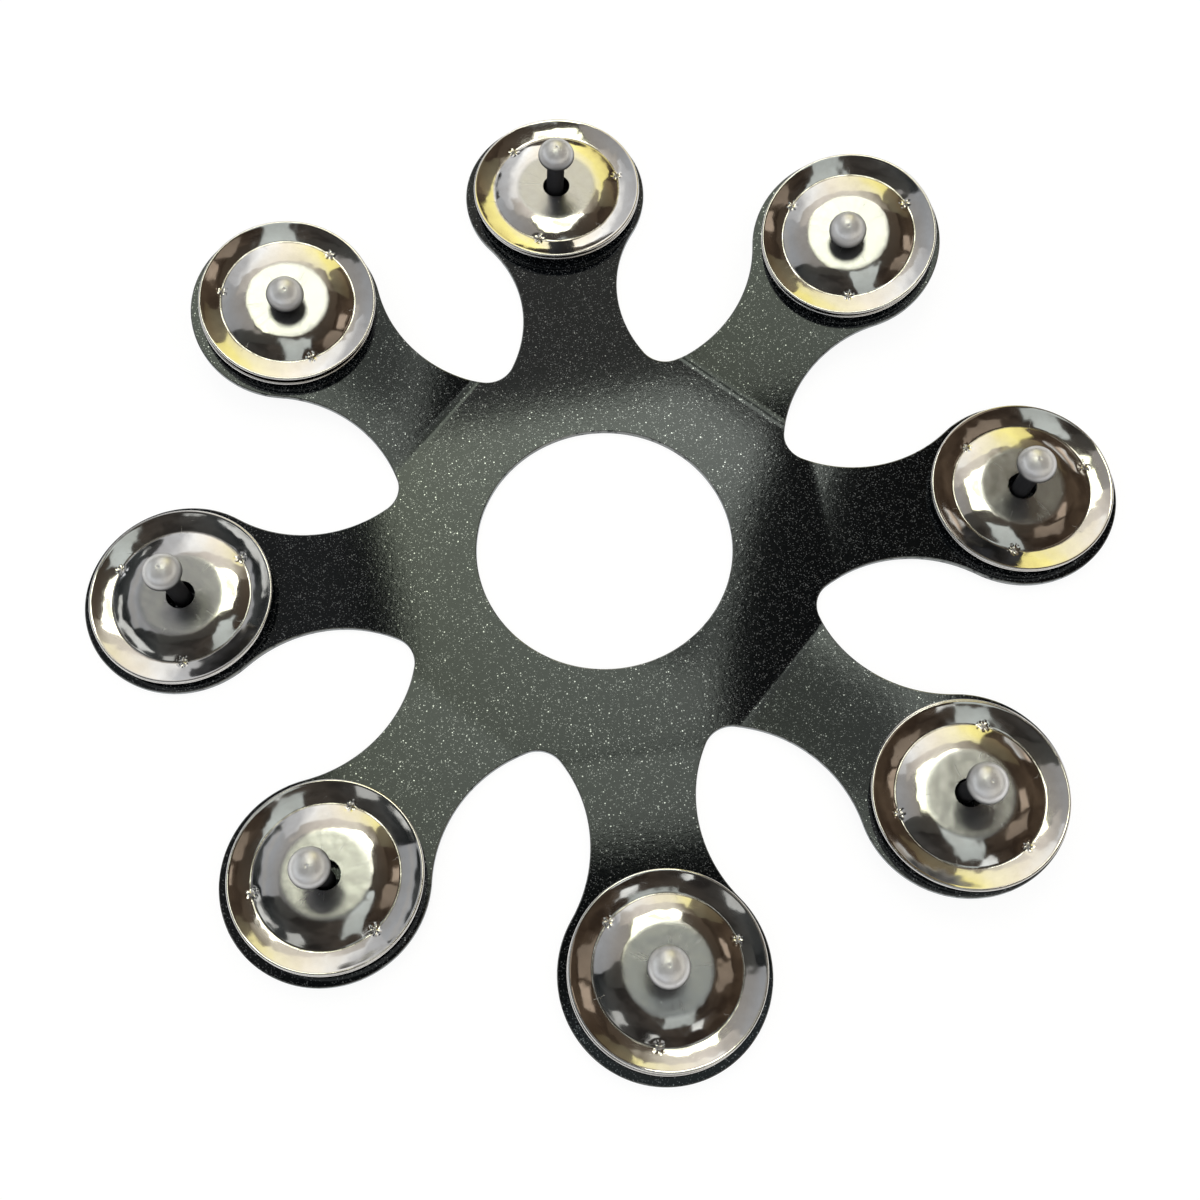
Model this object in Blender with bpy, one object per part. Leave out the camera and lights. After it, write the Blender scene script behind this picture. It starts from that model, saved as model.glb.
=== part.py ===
"""Hi-hat tambourine: a star plate whose eight arms each carry two loose jingles on a pin.

The underside of the plate's middle lies on z = 0 and its centre hole is round the origin. The
first arm points along +X and the others follow anticlockwise. Some arms are bent up a little.
Each arm has a frame of its own, with +X outwards along the arm and +Z square to its top face.
All sizes are in metres.
"""

from math import acos, atan2, cos, hypot, pi, radians, sin, sqrt
from typing import NamedTuple

import bmesh
import bpy
from mathutils import Matrix, Vector

MM = 0.001

# Star plate, cut from sheet
ARM_COUNT = 8
PLATE_THICKNESS = 1.2 * MM
CENTRE_HOLE_RADIUS = 25.0 * MM
PIN_CIRCLE_RADIUS = 82.0 * MM
ARM_END_RADIUS = 19.0 * MM
NECK_WIDTH = 20.0 * MM
NECK_ARC_RADIUS = 26.3 * MM
VALLEY_ARC_RADIUS = 5.5 * MM
EDGE_BREAK = 0.2 * MM

# Where an arm that is bent up starts to curve, and the length of its curve
BEND_START = 39.0 * MM
BEND_LENGTH = 8.0 * MM

# Pins, each a ball head on a plain shank with a thinner tail that is peened into the plate
SHANK_RADIUS = 1.8 * MM
HEAD_RADIUS = 3.7 * MM
LONG_PIN_HEIGHT = 13.7 * MM
SHORT_PIN_HEIGHT = 7.2 * MM
HEAD_CROWN = 2.8 * MM
HEAD_UNDERCUT = 2.1 * MM
HEAD_PIT_RADIUS = 0.5 * MM
HEAD_PIT_DEPTH = 0.2 * MM
TAIL_RADIUS = 1.3 * MM
COUNTERSINK_DEPTH = 0.5 * MM
TAIL_RECESS = 0.1 * MM
COLLAR_HEIGHT = 0.9 * MM

# Jingles, pressed from sheet: a flat middle, a slope down to a crease and a band up to the rim
JINGLE_THICKNESS = 0.6 * MM
JINGLE_HOLE_RADIUS = 2.8 * MM
JINGLE_MIDDLE_RADIUS = 7.8 * MM
CREASE_RADIUS = 13.2 * MM
RIM_RADIUS = 17.5 * MM
CREASE_DROP = 1.1 * MM
RIM_RISE = 1.2 * MM
PINCH_COUNT = 3
PINCH_DEPTH = 0.9 * MM
PINCH_RISE = 0.3 * MM

# Clearances
SEAT_GAP = 0.3 * MM
SLIDE_GAP = 0.3 * MM
STACK_GAP = 0.35 * MM

# Faces on the round pieces
JINGLE_SEGMENTS = 36
PIN_SEGMENTS = 12
CENTRE_HOLE_SEGMENTS = 48
ARM_END_STEPS = 16
NECK_STEPS = 5
VALLEY_STEPS = 2
BEND_STEPS = 4
HEAD_CROWN_STEPS = 4
HEAD_UNDERCUT_STEPS = 3

# How finely two jingles are compared to find where one comes to rest on the other
REST_RINGS = 24
REST_SPOKES = 48
REST_ROUNDS = 4


class Lie(NamedTuple):
    """How one jingle lies on its arm: angles in degrees, and shares of the room that it has."""

    tilt: float
    toward: float
    spin: float
    lift: float
    shift: float
    shift_toward: float


class Arm(NamedTuple):
    """One arm's bend and pin, which leans a little from square, and its two jingles.

    The pin's height is from the arm to the middle of its head.
    """

    rise: float
    pin_height: float
    lean: float
    lean_toward: float
    lower: Lie
    upper: Lie


ARMS = (
    Arm(1.7, LONG_PIN_HEIGHT, 1.7, 317, Lie(0.8, 270, 52, 0, 0.6, 60), Lie(0.4, 270, 11, 0, 0.3, 63)),
    Arm(10.9, SHORT_PIN_HEIGHT, 7.1, 229, Lie(1.4, 225, 29, 0, 0.9, 5), Lie(0.8, 41, 335, 0, 1, 2)),
    Arm(0.0, LONG_PIN_HEIGHT, 3.5, 248, Lie(0.3, 180, 5, 0, 0.7, 290), Lie(1.4, 355, 277, 0, 0.6, 213)),
    Arm(9.0, SHORT_PIN_HEIGHT, 3.3, 182, Lie(1.4, 135, 0, 0, 0.7, 280), Lie(0.9, 311, 272, 0, 0.9, 273)),
    Arm(0.0, LONG_PIN_HEIGHT, 0.8, 321, Lie(1.3, 90, 28, 0, 0.5, 100), Lie(0.6, 80, 209, 0, 1, 122)),
    Arm(2.8, LONG_PIN_HEIGHT, 4.4, 0, Lie(1.0, 45, 77, 0, 0.7, 160), Lie(0.5, 191, 202, 0, 1, 152)),
    Arm(1.6, LONG_PIN_HEIGHT, 3.1, 12, Lie(1.3, 0, 98, 0, 0.5, 130), Lie(0.8, 7, 105, 0, 1, 136)),
    Arm(6.0, LONG_PIN_HEIGHT, 12.9, 352, Lie(2.0, 340, 78, 0, 0.8, 20), Lie(1.5, 0, 112, 0, 1, 327)),
)

# Lengths that follow from those above
TAIL_HOLE_RADIUS = TAIL_RADIUS + SEAT_GAP
COUNTERSINK_RADIUS = TAIL_HOLE_RADIUS + COUNTERSINK_DEPTH
CREASE_LEVEL = -CREASE_DROP
RIM_LEVEL = CREASE_LEVEL + RIM_RISE


def clear_scene():
    for item in list(bpy.data.objects):
        bpy.data.objects.remove(item, do_unlink=True)


def make_material(name, colour, roughness, metallic):
    material = bpy.data.materials.new(name)
    material.use_nodes = True
    shader = material.node_tree.nodes["Principled BSDF"]
    shader.inputs["Base Color"].default_value = (*colour, 1.0)
    shader.inputs["Roughness"].default_value = roughness
    shader.inputs["Metallic"].default_value = metallic
    material.diffuse_color = (*colour, 1.0)
    return material


def finish_mesh(bm, name, sharp_angle):
    """Turn a closed bmesh into a mesh with outward faces and smooth shading."""
    bmesh.ops.remove_doubles(bm, verts=bm.verts, dist=0.001 * MM)
    bmesh.ops.recalc_face_normals(bm, faces=bm.faces)
    mesh = bpy.data.meshes.new(name)
    bm.to_mesh(mesh)
    bm.free()
    mesh.shade_smooth()
    mesh.set_sharp_from_angle(angle=radians(sharp_angle))
    return mesh


def add_object(name, mesh, material, matrix, parent=None):
    piece = bpy.data.objects.new(name, mesh)
    if not mesh.materials:
        mesh.materials.append(material)
    bpy.context.collection.objects.link(piece)
    piece.parent = parent
    piece.matrix_local = matrix
    return piece


def arc(centre, radius, start, end, steps):
    """Points along an arc, both ends included; the angles are in radians."""
    points = []
    for step in range(steps + 1):
        angle = start + (end - start) * step / steps
        points.append(Vector((centre.x + radius * cos(angle), centre.y + radius * sin(angle))))
    return points


def direction_to(start, end):
    return atan2(end.y - start.y, end.x - start.x)


def half_arm_outline(inset):
    """One side of an arm on +X, from its tip to the middle of the valley beside it.

    The round end, the neck and the valley are three arcs, each tangent to the next. An inset
    moves all three into the material and keeps their centres.
    """
    half_pitch = pi / ARM_COUNT
    end_centre = Vector((PIN_CIRCLE_RADIUS, 0.0))
    neck_centre_y = NECK_WIDTH / 2 + NECK_ARC_RADIUS
    reach = ARM_END_RADIUS + NECK_ARC_RADIUS
    neck_centre = Vector((PIN_CIRCLE_RADIUS - sqrt(reach**2 - neck_centre_y**2), neck_centre_y))

    # The valley's centre is on the line between two arms, inside the neck's circle
    valley_line = Vector((cos(half_pitch), sin(half_pitch)))
    along = neck_centre.dot(valley_line)
    beside = neck_centre.cross(valley_line)
    inner = NECK_ARC_RADIUS - VALLEY_ARC_RADIUS
    valley_centre = valley_line * (along - sqrt(inner**2 - beside**2))

    end_angle = direction_to(end_centre, neck_centre)
    neck_start = end_angle - pi
    neck_end = direction_to(neck_centre, valley_centre)
    valley_end = half_pitch - pi
    points = arc(end_centre, ARM_END_RADIUS - inset, 0.0, end_angle, ARM_END_STEPS // 2)
    points += arc(neck_centre, NECK_ARC_RADIUS + inset, neck_start, neck_end, NECK_STEPS)[1:]
    points += arc(valley_centre, VALLEY_ARC_RADIUS + inset, neck_end, valley_end, VALLEY_STEPS)[1:]
    return points


def star_outline(inset):
    half = half_arm_outline(inset)
    mirrored = [Vector((point.x, -point.y)) for point in reversed(half)]
    arm = mirrored[:-1] + half[:-1]
    points = []
    for index in range(ARM_COUNT):
        turn = Matrix.Rotation(2 * pi * index / ARM_COUNT, 2)
        points += [turn @ point for point in arm]
    return points


def circle_outline(centre, radius, segments):
    return arc(centre, radius, 0.0, 2 * pi, segments)[:-1]


def add_loop(bm, outline, height):
    verts = [bm.verts.new((point.x, point.y, height)) for point in outline]
    return [bm.edges.new((verts[i], verts[(i + 1) % len(verts)])) for i in range(len(verts))]


def add_wall(bm, levels):
    """Stack outlines of equal length into a wall and return its first and last loop."""
    loops = [add_loop(bm, outline, height) for outline, height in levels]
    for below, above in zip(loops, loops[1:]):
        for lower_edge, upper_edge in zip(below, above):
            bm.faces.new((*lower_edge.verts, upper_edge.verts[1], upper_edge.verts[0]))
    return loops[0], loops[-1]


def pin_place(index):
    """Middle of an arm's pin hole before the arm is bent."""
    angle = 2 * pi * index / ARM_COUNT
    return Vector((PIN_CIRCLE_RADIUS * cos(angle), PIN_CIRCLE_RADIUS * sin(angle)))


def bent_frame(rise, distance):
    """Where a flat arm along +X is carried at a distance from the middle, once it is bent up.

    The middle of the sheet keeps its length: it runs straight, round an arc and straight again.
    """
    share = min(1.0, max(0.0, (distance - BEND_START) / BEND_LENGTH))
    angle = radians(rise) * share
    curve = BEND_LENGTH * share
    if angle > 0:
        radius = curve / angle
        arc_end = Vector((BEND_START + radius * sin(angle), 0.0, radius * (1 - cos(angle))))
    else:
        arc_end = Vector((BEND_START + curve, 0.0, 0.0))
    half_sheet = Vector((0.0, 0.0, PLATE_THICKNESS / 2))
    turn = Matrix.Rotation(-angle, 4, "Y")
    flat_end = Vector((BEND_START + curve, 0.0, 0.0)) + half_sheet
    return Matrix.Translation(arc_end + half_sheet) @ turn @ Matrix.Translation(-flat_end)


def bend_arm(bm, index, rise):
    """Cut a flat arm across at the bend and curve all of it from there outwards."""
    to_arm = Matrix.Rotation(-2 * pi * index / ARM_COUNT, 4, "Z")
    from_arm = to_arm.inverted()

    def on_arm(vert):
        local = to_arm @ vert.co
        return local.x > BEND_START and abs(atan2(local.y, local.x)) < pi / ARM_COUNT

    outwards = from_arm.to_3x3().col[0]
    for step in range(BEND_STEPS + 1):
        distance = BEND_START + BEND_LENGTH * step / BEND_STEPS
        faces = [face for face in bm.faces if any(on_arm(vert) for vert in face.verts)]
        edges = {edge for face in faces for edge in face.edges}
        verts = {vert for face in faces for vert in face.verts}
        geometry = [*faces, *edges, *verts]
        place = outwards * distance
        bmesh.ops.bisect_plane(bm, geom=geometry, dist=0.001 * MM, plane_co=place, plane_no=outwards)
    for vert in [vert for vert in bm.verts if on_arm(vert)]:
        local = to_arm @ vert.co
        vert.co = from_arm @ bent_frame(rise, local.x) @ local


def make_plate_mesh():
    """The star with broken edges, its centre hole, and a countersunk hole for each pin."""
    bm = bmesh.new()
    middle = Vector((0.0, 0.0))
    edge_levels = (
        (EDGE_BREAK, 0.0),
        (0.0, EDGE_BREAK),
        (0.0, PLATE_THICKNESS - EDGE_BREAK),
        (EDGE_BREAK, PLATE_THICKNESS),
    )
    outer = [(star_outline(inset), height) for inset, height in edge_levels]
    centre_hole = [
        (circle_outline(middle, CENTRE_HOLE_RADIUS + inset, CENTRE_HOLE_SEGMENTS), height)
        for inset, height in edge_levels
    ]
    walls = [add_wall(bm, outer), add_wall(bm, centre_hole)]
    for index in range(ARM_COUNT):
        place = pin_place(index)
        narrow = circle_outline(place, TAIL_HOLE_RADIUS, PIN_SEGMENTS)
        wide = circle_outline(place, COUNTERSINK_RADIUS, PIN_SEGMENTS)
        levels = ((wide, 0.0), (narrow, COUNTERSINK_DEPTH), (narrow, PLATE_THICKNESS))
        walls.append(add_wall(bm, levels))
    for side in (0, 1):
        edges = [edge for wall in walls for edge in wall[side]]
        bmesh.ops.triangle_fill(bm, use_beauty=True, edges=edges, normal=(0, 0, 1))
    for index, arm in enumerate(ARMS):
        if arm.rise > 0:
            bend_arm(bm, index, arm.rise)
    return finish_mesh(bm, "star_plate", 30)


def revolve(profile, segments, closed):
    """Spin a profile of (radius, height) points once round the Z axis."""
    bm = bmesh.new()
    verts = [bm.verts.new((radius, 0.0, height)) for radius, height in profile]
    pairs = list(zip(verts, verts[1:]))
    if closed:
        pairs.append((verts[-1], verts[0]))
    edges = [bm.edges.new(pair) for pair in pairs]
    bmesh.ops.spin(
        bm,
        geom=verts + edges,
        cent=(0, 0, 0),
        axis=(0, 0, 1),
        angle=2 * pi,
        steps=segments,
        use_merge=True,
    )
    bmesh.ops.remove_doubles(bm, verts=bm.verts, dist=0.001 * MM)
    return bm


def undercut_height(pin_height, radius):
    """Height of the head's underside at a radius, measured from the top of the plate."""
    return pin_height - HEAD_UNDERCUT * sqrt(max(0.0, 1 - (radius / HEAD_RADIUS) ** 2))


def pin_profile(pin_height):
    """A pin's half outline from its peened end to the pit in its head, z = 0 on the plate."""
    end_height = TAIL_RECESS - PLATE_THICKNESS
    cone_gap = SEAT_GAP * sqrt(2)
    flare_radius = COUNTERSINK_RADIUS - TAIL_RECESS - cone_gap
    flare_start = end_height + flare_radius - TAIL_RADIUS
    points = [
        (0.0, end_height),
        (flare_radius, end_height),
        (TAIL_RADIUS, flare_start),
        (TAIL_RADIUS, SEAT_GAP),
        (SHANK_RADIUS, SEAT_GAP),
        (SHANK_RADIUS, COLLAR_HEIGHT),
    ]
    undercut_angle = acos(SHANK_RADIUS / HEAD_RADIUS)
    for step in range(HEAD_UNDERCUT_STEPS):
        radius = HEAD_RADIUS * cos(undercut_angle * (1 - step / HEAD_UNDERCUT_STEPS))
        points.append((radius, undercut_height(pin_height, radius)))
    pit_angle = acos(HEAD_PIT_RADIUS / HEAD_RADIUS)
    for step in range(HEAD_CROWN_STEPS + 1):
        angle = pit_angle * step / HEAD_CROWN_STEPS
        points.append((HEAD_RADIUS * cos(angle), pin_height + HEAD_CROWN * sin(angle)))
    points.append((0.0, points[-1][1] - HEAD_PIT_DEPTH))
    return points


def tilt_matrix(tilt, toward):
    """Turn that leans +Z by tilt degrees towards the azimuth given in degrees."""
    azimuth = Matrix.Rotation(radians(toward), 4, "Z")
    return azimuth @ Matrix.Rotation(radians(tilt), 4, "Y") @ azimuth.inverted()


def make_pin_mesh(name, pin_height, lean_turn):
    """The tail stays square in the plate and the shank leans from its collar upwards."""
    bm = revolve(pin_profile(pin_height), PIN_SEGMENTS, closed=False)
    for vert in bm.verts:
        if vert.co.z > (SEAT_GAP + COLLAR_HEIGHT) / 2:
            vert.co = lean_turn @ vert.co
    return finish_mesh(bm, name, 40)


def jingle_level(radius):
    """Height of the middle of the sheet at a radius, 0 at the flat middle."""
    if radius <= JINGLE_MIDDLE_RADIUS:
        return 0.0
    if radius <= CREASE_RADIUS:
        share = (radius - JINGLE_MIDDLE_RADIUS) / (CREASE_RADIUS - JINGLE_MIDDLE_RADIUS)
        return CREASE_LEVEL * share
    share = (radius - CREASE_RADIUS) / (RIM_RADIUS - CREASE_RADIUS)
    return CREASE_LEVEL + (RIM_LEVEL - CREASE_LEVEL) * share


def make_jingle_mesh():
    """The pressed sheet, with the crease pinched inwards at even places."""
    radii = (JINGLE_HOLE_RADIUS, JINGLE_MIDDLE_RADIUS, CREASE_RADIUS, RIM_RADIUS)
    top = [(radius, jingle_level(radius) + JINGLE_THICKNESS / 2) for radius in radii]
    bottom = [(radius, jingle_level(radius) - JINGLE_THICKNESS / 2) for radius in reversed(radii)]
    bm = revolve(top + bottom, JINGLE_SEGMENTS, closed=True)
    pinch_pitch = 2 * pi / PINCH_COUNT
    half_segment = pi / JINGLE_SEGMENTS
    for vert in bm.verts:
        on_crease = abs(hypot(vert.co.x, vert.co.y) - CREASE_RADIUS) < 0.01 * MM
        beside_pinch = (atan2(vert.co.y, vert.co.x) + half_segment) % pinch_pitch
        if on_crease and beside_pinch < 2 * half_segment:
            outward = Vector((vert.co.x, vert.co.y, 0.0)).normalized()
            vert.co -= outward * PINCH_DEPTH
            vert.co.z += PINCH_RISE
    return finish_mesh(bm, "jingle", 25)


def ring_of_points(radius, height):
    angles = [2 * pi * spoke / REST_SPOKES for spoke in range(REST_SPOKES)]
    return [Vector((radius * cos(angle), radius * sin(angle), height)) for angle in angles]


def jingle_points(side):
    """Points all over one face of a jingle: side is 1 for its top and -1 for its underside."""
    points = []
    for ring in range(REST_RINGS + 1):
        share = ring / REST_RINGS
        radius = JINGLE_HOLE_RADIUS + (RIM_RADIUS - JINGLE_HOLE_RADIUS) * share
        points += ring_of_points(radius, jingle_level(radius) + side * JINGLE_THICKNESS / 2)
    points += ring_of_points(CREASE_RADIUS, CREASE_LEVEL + side * JINGLE_THICKNESS / 2)
    return points


def top_height_at(placement, x, y):
    """Height of a placed jingle's top face above a point, or None beside the jingle."""
    to_local = placement.inverted()
    height = placement.translation.z
    for _ in range(REST_ROUNDS):
        local = to_local @ Vector((x, y, height))
        radius = hypot(local.x, local.y)
        if not JINGLE_HOLE_RADIUS - SLIDE_GAP < radius < RIM_RADIUS + SLIDE_GAP:
            return None
        height += jingle_level(min(radius, RIM_RADIUS)) + JINGLE_THICKNESS / 2 - local.z
    return height


def place_jingle(lie, axis, distance):
    """Placement of a jingle in its arm's frame, at a distance along the pin's axis."""
    turn = tilt_matrix(lie.tilt, lie.toward) @ Matrix.Rotation(radians(lie.spin), 4, "Z")
    normal = turn.to_3x3().col[2]
    along = axis.to_3x3().col[2]
    slant = along.angle(normal)
    room = JINGLE_HOLE_RADIUS * cos(slant) - JINGLE_THICKNESS / 2 * sin(slant)
    play = room - SHANK_RADIUS - SLIDE_GAP
    angle = radians(lie.shift_toward)
    shift = Vector((cos(angle), sin(angle), 0.0))
    shift -= along * shift.dot(along)
    centre = along * distance + shift.normalized() * play * lie.shift
    return Matrix.Translation(centre) @ turn


def rest_distance(lie, axis, floor_height, step_up):
    """Distance along the pin at which a jingle lies just clear of what is under it."""
    along_z = axis.to_3x3().col[2].z
    distance = 0.0
    for _ in range(REST_ROUNDS):
        placement = place_jingle(lie, axis, distance)
        shortfalls = []
        for point in jingle_points(-1):
            place = placement @ point
            below = floor_height(place.x, place.y)
            if below is not None:
                shortfalls.append(below + step_up - place.z)
        distance += max(shortfalls) / along_z
    return distance


def head_distance(arm, axis):
    """Distance along the pin at which the upper jingle comes up just short of the head."""
    to_pin = axis.inverted() @ place_jingle(arm.upper, axis, 0.0)
    room = []
    for point in jingle_points(1):
        beside = to_pin @ point
        radius = hypot(beside.x, beside.y)
        if radius < HEAD_RADIUS:
            room.append(undercut_height(arm.pin_height, radius) - SEAT_GAP - beside.z)
    return min(room)


def stack_distances(arm, axis):
    """Distances of both jingles along the pin and the free travel that is left above them."""
    lower_rest = rest_distance(arm.lower, axis, lambda x, y: 0.0, SEAT_GAP)
    resting = place_jingle(arm.lower, axis, lower_rest)
    upper_rest = rest_distance(arm.upper, axis, lambda x, y: top_height_at(resting, x, y), STACK_GAP)
    travel = head_distance(arm, axis) - upper_rest
    lower = lower_rest + arm.lower.lift * travel
    upper = upper_rest + (arm.lower.lift + arm.upper.lift) * travel
    return lower, upper, travel


def build():
    clear_scene()
    painted = make_material("black powder coat", (0.030, 0.032, 0.034), 0.55, 0.0)
    satin = make_material("satin steel", (0.60, 0.60, 0.58), 0.30, 1.0)
    plated = make_material("bright nickel", (0.78, 0.75, 0.68), 0.10, 1.0)
    add_object("star_plate", make_plate_mesh(), painted, Matrix())
    jingle_mesh = make_jingle_mesh()
    for index, arm in enumerate(ARMS):
        number = index + 1
        along_arm = Matrix.Rotation(2 * pi * index / ARM_COUNT, 4, "Z")
        pin_foot = Matrix.Translation((PIN_CIRCLE_RADIUS, 0.0, PLATE_THICKNESS))
        foot = along_arm @ bent_frame(arm.rise, PIN_CIRCLE_RADIUS) @ pin_foot
        axis = tilt_matrix(arm.lean, arm.lean_toward)
        pin_name = f"jingle_pin_{number}"
        add_object(pin_name, make_pin_mesh(pin_name, arm.pin_height, axis), satin, foot)
        slide = bpy.data.objects.new(f"slide_axis_{number}", None)
        slide.empty_display_size = HEAD_RADIUS
        slide.matrix_world = foot @ axis
        bpy.context.collection.objects.link(slide)
        lower, upper, travel = stack_distances(arm, axis)
        stack = (("lower", arm.lower, lower), ("upper", arm.upper, upper))
        for name, lie, distance in stack:
            local = axis.inverted() @ place_jingle(lie, axis, distance)
            add_object(f"{name}_jingle_{number}", jingle_mesh, plated, local, parent=slide)
        along = slide.matrix_world.to_3x3().col[2]
        print(
            f"arm {number}: axis {along.x:.4f} {along.y:.4f} {along.z:.4f},",
            f"foot {foot.translation.x:.5f} {foot.translation.y:.5f} {foot.translation.z:.5f},",
            f"lower at {lower / MM:.2f} mm, upper at {upper / MM:.2f} mm, travel {travel / MM:.2f} mm",
        )


build()
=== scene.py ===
"""Hi-hat tambourine, dressed: a painted star plate that carries eight pairs of nickel jingles.

Everything is in metres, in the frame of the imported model: the underside of the plate's middle
lies on z = 0 and the first arm points along +X. The camera stands over the near side, at -Y.
"""

from math import acos, atan2, cos, exp, hypot, pi, radians, sin, sqrt
from typing import NamedTuple

import bmesh
import bpy
import numpy as np
from mathutils import Matrix, Vector


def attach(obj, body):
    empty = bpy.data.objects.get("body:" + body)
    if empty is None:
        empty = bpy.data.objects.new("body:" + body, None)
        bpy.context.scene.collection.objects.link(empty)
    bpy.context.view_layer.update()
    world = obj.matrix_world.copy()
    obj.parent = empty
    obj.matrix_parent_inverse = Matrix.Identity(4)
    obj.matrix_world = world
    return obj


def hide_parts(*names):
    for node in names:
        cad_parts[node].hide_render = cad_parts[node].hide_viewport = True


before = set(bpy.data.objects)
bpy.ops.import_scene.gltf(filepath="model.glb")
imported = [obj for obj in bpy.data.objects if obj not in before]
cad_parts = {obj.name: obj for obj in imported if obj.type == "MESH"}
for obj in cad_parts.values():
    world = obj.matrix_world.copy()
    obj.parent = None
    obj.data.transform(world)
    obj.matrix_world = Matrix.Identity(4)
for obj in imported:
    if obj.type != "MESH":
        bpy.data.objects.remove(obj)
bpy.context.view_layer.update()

MM = 0.001

# Points closer than this are one point, and heights closer than this are one level.
SAME_PLACE = 0.001 * MM
SAME_HEIGHT = 0.01 * MM

# Star plate
ARM_COUNT = 8
ARM_PITCH = 2 * pi / ARM_COUNT
PLATE_THICKNESS = 1.2 * MM
CENTRE_HOLE_RADIUS = 25.0 * MM
PIN_CIRCLE_RADIUS = 82.0 * MM
ARM_END_RADIUS = 19.0 * MM
NECK_WIDTH = 20.0 * MM
NECK_ARC_RADIUS = 26.3 * MM
VALLEY_ARC_RADIUS = 5.5 * MM
ARM_END_STEPS = 40
NECK_STEPS = 24
VALLEY_STEPS = 10
CENTRE_HOLE_STEPS = 160
TAIL_HOLE_STEPS = 24
EDGE_BREAK = 0.2 * MM
EDGE_BREAK_STEPS = 3
CORNER_ANGLE = 60
PLATE_SHARP_ANGLE = 10

# Bends of the arms. The solids spread each over 8 mm. Here it is tighter, round the same line,
# which keeps the break in the plate's reflection thin.
BEND_START = 42.0 * MM
BEND_LENGTH = 2.0 * MM
BEND_STEPS = 4
BEND_MARGIN = 0.3 * MM

# Pins
SHANK_RADIUS = 1.8 * MM
HEAD_RADIUS = 3.7 * MM
LONG_PIN_HEIGHT = 13.7 * MM
SHORT_PIN_HEIGHT = 7.2 * MM
HEAD_CROWN = 2.8 * MM
HEAD_UNDERCUT = 2.1 * MM
HEAD_PIT_RADIUS = 0.3 * MM
HEAD_PIT_WALL = ((0.2 * MM, 0.03 * MM), (0.1 * MM, 0.10 * MM), (0.0, 0.14 * MM))
TAIL_RADIUS = 1.3 * MM
TAIL_HOLE_RADIUS = 1.6 * MM
TAIL_FLARE_RADIUS = 1.58 * MM
TAIL_FLARE_HEIGHT = 0.33 * MM
TAIL_LIP = 0.05 * MM
TAIL_DISH_RADIUS = 0.8 * MM
TAIL_DISH_DEPTH = 0.12 * MM
TAIL_RECESS = 0.1 * MM
COUNTERSINK_DEPTH = 0.5 * MM
SEAT_GAP = 0.3 * MM
SHANK_EDGE = 0.1 * MM
COLLAR_HEIGHT = 0.9 * MM
UNDERCUT_STEPS = 10
CROWN_STEPS = 18
PIN_SEGMENTS = 48

# Jingles
SHEET = 0.6 * MM
DISC_HOLE_RADIUS = 2.8 * MM
DISC_MIDDLE_RADIUS = 7.8 * MM
CREASE_RADIUS = 13.2 * MM
RIM_RADIUS = 17.5 * MM
CREASE_DROP = 1.1 * MM
RIM_RISE = 1.2 * MM
SLOPE_BOW = 0.16 * MM
BAND_SAG = 0.10 * MM
PRESS_SOFTNESS = 0.24 * MM
PRESS_SAMPLES = 4
RING_GATHERING = 0.09
RIM_STEPS = 6
ROUND_SHARP_ANGLE = 50

# Pinches in the crease. The half widths of the raised dot and of the dent round it, sideways and
# outwards, and the reach of both are plain numbers of millimetres.
PINCH_COUNT = 3
PINCH_DOT_RISE = 0.30 * MM
PINCH_DOT_WIDTHS = (0.55, 0.50)
PINCH_DENT_DEPTH = 0.10 * MM
PINCH_DENT_WIDTHS = (1.1, 0.9)
PINCH_REACH = 3.0

# How a jingle's lie is read from its solid. Only the pinches have corners between the first two
# radii, corners this near to the hole are on its edge, and corners that agree to this many
# decimals of a metre are one.
PINCHED_FROM = 11.5 * MM
PINCHED_TO = 12.9 * MM
HOLE_EDGE_REACH = 0.4 * MM
CORNER_DECIMALS = 7

# Rings and segments of each layer of jingles; the lower ones hardly show.
DISC_DETAIL = {"lower": (30, 120), "upper": (46, 240)}

# Each piece reads its pattern this many millimetres from the piece before, so no two look alike.
PATTERN_STEP = 40.0
PATTERN_SHIFT = {"lower": 0.0, "upper": 20.0}

# Flakes in the paint, coarse and fine: how densely they could lie, the share of places that hold
# one, and their size as a share of the distance between places.
FLAKE_LAYERS = ((2300.0, 0.16, 0.32), (4000.0, 0.26, 0.42))

# Camera. The lens and the sensor are plain numbers of millimetres.
CAMERA_LENS = 43.865
SENSOR_WIDTH = 36.0
CAMERA_CLIP_START = 10.0 * MM
CAMERA_PLACE = (-0.01270, -0.10647, 0.26593)
CAMERA_TURN = (
    (0.991647, 0.123568, -0.036966),
    (-0.128763, 0.931862, -0.339195),
    (-0.007467, 0.341122, 0.939989),
)

# Floor. The camera and the metal see its glow, and the share of it that is left out keeps the
# object's shadow.
FLOOR_REACH = 3.0
FLOOR_GLOW = 1.12
FLOOR_GLOW_SHARE = 0.8


class Arm(NamedTuple):
    """One arm's bend and pin: angles in degrees, and the height from the arm to the head."""

    rise: float
    pin_height: float
    lean: float
    lean_toward: float


ARMS = (
    Arm(1.7, LONG_PIN_HEIGHT, 1.7, 317),
    Arm(10.9, SHORT_PIN_HEIGHT, 7.1, 229),
    Arm(0.0, LONG_PIN_HEIGHT, 3.5, 248),
    Arm(9.0, SHORT_PIN_HEIGHT, 3.3, 182),
    Arm(0.0, LONG_PIN_HEIGHT, 0.8, 321),
    Arm(2.8, LONG_PIN_HEIGHT, 4.4, 0),
    Arm(1.6, LONG_PIN_HEIGHT, 3.1, 12),
    Arm(6.0, LONG_PIN_HEIGHT, 12.9, 352),
)


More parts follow.
